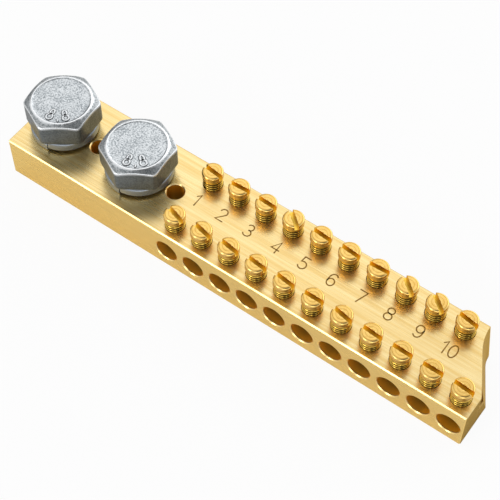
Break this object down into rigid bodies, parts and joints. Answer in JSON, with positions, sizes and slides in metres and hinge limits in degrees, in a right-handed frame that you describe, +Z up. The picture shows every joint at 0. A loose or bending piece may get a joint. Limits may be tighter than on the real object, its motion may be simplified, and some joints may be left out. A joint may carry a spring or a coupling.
{
  "type": "earth terminal bar",
  "caption": "Solid brass earth bar: wire tunnels with slotted clamp screws above them, with hex bolts on spring washers for the main leads and holes to fix it down.",
  "frame": {"origin": "under the middle of the bar, on the face that it sits on", "axes": "+X along the bar from the bolt end to the last terminal, +Y from the front face with the wire holes to the back, +Z up out of the screw heads"},
  "size_m": [0.134, 0.024, 0.0229],
  "materials": {
    "bar_brass": "drawn brass, brushed along its length, edges lightly broken",
    "screw_brass": "turned brass, with faint rings on the head and rolled threads",
    "bolt_zinc": "forged steel, zinc plated, mottled on the head",
    "washer_zinc": "spring steel, zinc plated"
  },
  "bodies": {
    "bar": {"terminal_bar": "bar_brass", "hex_bolt_left": "bolt_zinc", "hex_bolt_right": "bolt_zinc", "spring_washer_left": "washer_zinc", "spring_washer_right": "washer_zinc"},
    "screw_front_01": {"terminal_screw_front_01": "screw_brass"},
    "screw_front_02": {"terminal_screw_front_02": "screw_brass"},
    "screw_front_03": {"terminal_screw_front_03": "screw_brass"},
    "screw_front_04": {"terminal_screw_front_04": "screw_brass"},
    "screw_front_05": {"terminal_screw_front_05": "screw_brass"},
    "screw_front_06": {"terminal_screw_front_06": "screw_brass"},
    "screw_front_07": {"terminal_screw_front_07": "screw_brass"},
    "screw_front_08": {"terminal_screw_front_08": "screw_brass"},
    "screw_front_09": {"terminal_screw_front_09": "screw_brass"},
    "screw_front_10": {"terminal_screw_front_10": "screw_brass"},
    "screw_front_11": {"terminal_screw_front_11": "screw_brass"},
    "screw_back_01": {"terminal_screw_back_01": "screw_brass"},
    "screw_back_02": {"terminal_screw_back_02": "screw_brass"},
    "screw_back_03": {"terminal_screw_back_03": "screw_brass"},
    "screw_back_04": {"terminal_screw_back_04": "screw_brass"},
    "screw_back_05": {"terminal_screw_back_05": "screw_brass"},
    "screw_back_06": {"terminal_screw_back_06": "screw_brass"},
    "screw_back_07": {"terminal_screw_back_07": "screw_brass"},
    "screw_back_08": {"terminal_screw_back_08": "screw_brass"},
    "screw_back_09": {"terminal_screw_back_09": "screw_brass"},
    "screw_back_10": {"terminal_screw_back_10": "screw_brass"}
  },
  "joints": [
    {"name": "screw_front_01_travel", "type": "slide", "parent": "bar", "child": "screw_front_01", "axis": [0, 0, 1], "range_m": [-0.0026, 0.0011]},
    {"name": "screw_front_02_travel", "type": "slide", "parent": "bar", "child": "screw_front_02", "axis": [0, 0, 1], "range_m": [-0.0026, 0.0011]},
    {"name": "screw_front_03_travel", "type": "slide", "parent": "bar", "child": "screw_front_03", "axis": [0, 0, 1], "range_m": [-0.0026, 0.0011]},
    {"name": "screw_front_04_travel", "type": "slide", "parent": "bar", "child": "screw_front_04", "axis": [0, 0, 1], "range_m": [-0.0026, 0.0011]},
    {"name": "screw_front_05_travel", "type": "slide", "parent": "bar", "child": "screw_front_05", "axis": [0, 0, 1], "range_m": [-0.0026, 0.0011]},
    {"name": "screw_front_06_travel", "type": "slide", "parent": "bar", "child": "screw_front_06", "axis": [0, 0, 1], "range_m": [-0.0026, 0.0011]},
    {"name": "screw_front_07_travel", "type": "slide", "parent": "bar", "child": "screw_front_07", "axis": [0, 0, 1], "range_m": [-0.0026, 0.0011]},
    {"name": "screw_front_08_travel", "type": "slide", "parent": "bar", "child": "screw_front_08", "axis": [0, 0, 1], "range_m": [-0.0026, 0.0011]},
    {"name": "screw_front_09_travel", "type": "slide", "parent": "bar", "child": "screw_front_09", "axis": [0, 0, 1], "range_m": [-0.0026, 0.0011]},
    {"name": "screw_front_10_travel", "type": "slide", "parent": "bar", "child": "screw_front_10", "axis": [0, 0, 1], "range_m": [-0.0026, 0.0011]},
    {"name": "screw_front_11_travel", "type": "slide", "parent": "bar", "child": "screw_front_11", "axis": [0, 0, 1], "range_m": [-0.0026, 0.0011]},
    {"name": "screw_back_01_travel", "type": "slide", "parent": "bar", "child": "screw_back_01", "axis": [0, 0, 1], "range_m": [-0.003, 0.0007]},
    {"name": "screw_back_02_travel", "type": "slide", "parent": "bar", "child": "screw_back_02", "axis": [0, 0, 1], "range_m": [-0.003, 0.0007]},
    {"name": "screw_back_03_travel", "type": "slide", "parent": "bar", "child": "screw_back_03", "axis": [0, 0, 1], "range_m": [-0.003, 0.0007]},
    {"name": "screw_back_04_travel", "type": "slide", "parent": "bar", "child": "screw_back_04", "axis": [0, 0, 1], "range_m": [-0.003, 0.0007]},
    {"name": "screw_back_05_travel", "type": "slide", "parent": "bar", "child": "screw_back_05", "axis": [0, 0, 1], "range_m": [-0.003, 0.0007]},
    {"name": "screw_back_06_travel", "type": "slide", "parent": "bar", "child": "screw_back_06", "axis": [0, 0, 1], "range_m": [-0.003, 0.0007]},
    {"name": "screw_back_07_travel", "type": "slide", "parent": "bar", "child": "screw_back_07", "axis": [0, 0, 1], "range_m": [-0.003, 0.0007]},
    {"name": "screw_back_08_travel", "type": "slide", "parent": "bar", "child": "screw_back_08", "axis": [0, 0, 1], "range_m": [-0.003, 0.0007]},
    {"name": "screw_back_09_travel", "type": "slide", "parent": "bar", "child": "screw_back_09", "axis": [0, 0, 1], "range_m": [-0.003, 0.0007]},
    {"name": "screw_back_10_travel", "type": "slide", "parent": "bar", "child": "screw_back_10", "axis": [0, 0, 1], "range_m": [-0.003, 0.0007]}
  ]
}
